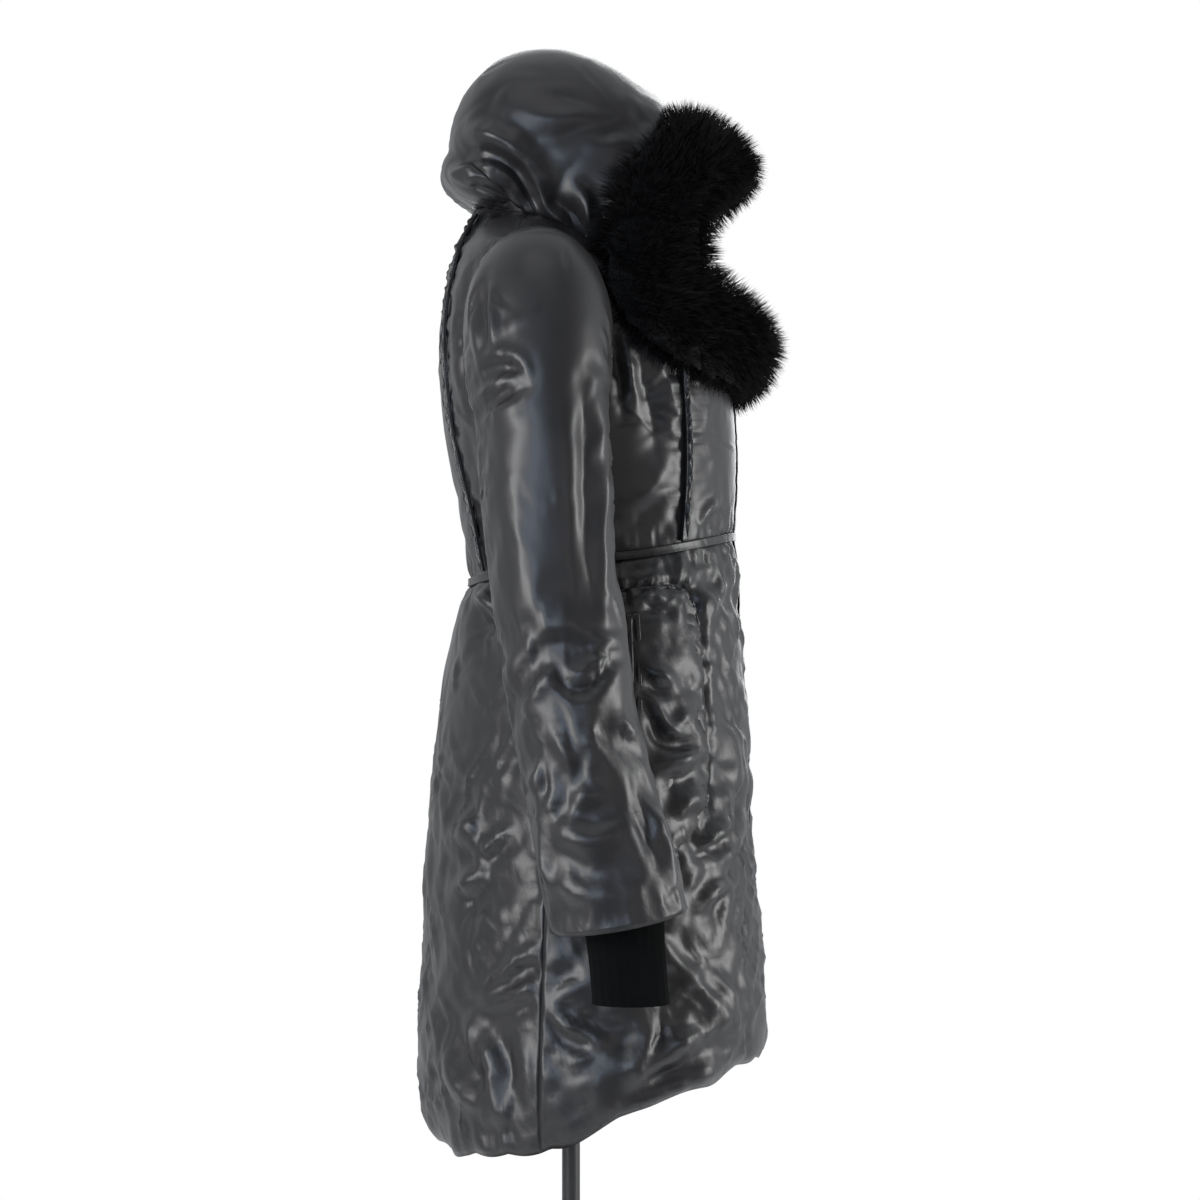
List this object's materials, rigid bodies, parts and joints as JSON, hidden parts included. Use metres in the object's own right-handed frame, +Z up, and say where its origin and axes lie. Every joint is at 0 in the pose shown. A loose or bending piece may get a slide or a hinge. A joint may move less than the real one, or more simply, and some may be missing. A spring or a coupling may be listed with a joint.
{
  "type": "long puffer coat on a dress form",
  "caption": "Long hooded puffer coat with a thick fur trim, knit inner cuffs and curved pockets, on a headless limbless dress form with a pole stand.",
  "frame": {"origin": "centre of the stand base's underside, on the floor and on the pole's axis", "axes": "+Z up, -Y the way the coat faces, +X the wearer's left side"},
  "size_m": [0.6822, 0.3994, 1.556],
  "materials": {
    "nylon": "glossy charcoal nylon shell over padding",
    "nylon_strip": "glossy charcoal nylon strip, double stitched",
    "rib_knit": "matt black rib knit",
    "fur": "soft black fur",
    "jersey": "matt black jersey cover",
    "dark_steel": "satin dark grey paint"
  },
  "bodies": {
    "root": {"bodice_front_R": "nylon", "bodice_front_L": "nylon", "bodice_side_front_R": "nylon", "bodice_side_front_L": "nylon", "bodice_side_back_R": "nylon", "bodice_side_back_L": "nylon", "bodice_back": "nylon", "skirt_front_R": "nylon", "skirt_front_L": "nylon", "skirt_back": "nylon", "sleeve_upper_R": "nylon", "sleeve_upper_L": "nylon", "sleeve_under_R": "nylon", "sleeve_under_L": "nylon", "hood_R": "nylon", "hood_L": "nylon", "front_fly": "nylon", "pocket_R": "nylon", "pocket_L": "nylon", "piping_front_R": "nylon_strip", "piping_front_L": "nylon_strip", "piping_back_R": "nylon_strip", "piping_back_L": "nylon_strip", "piping_waist": "nylon_strip", "pocket_welt_R": "nylon_strip", "pocket_welt_L": "nylon_strip", "cuff_R": "rib_knit", "cuff_L": "rib_knit", "fur_R": "fur", "fur_L": "fur", "form_torso": "jersey", "form_collar": "dark_steel", "stand_pole": "dark_steel", "stand_base": "dark_steel"}
  },
  "joints": []
}
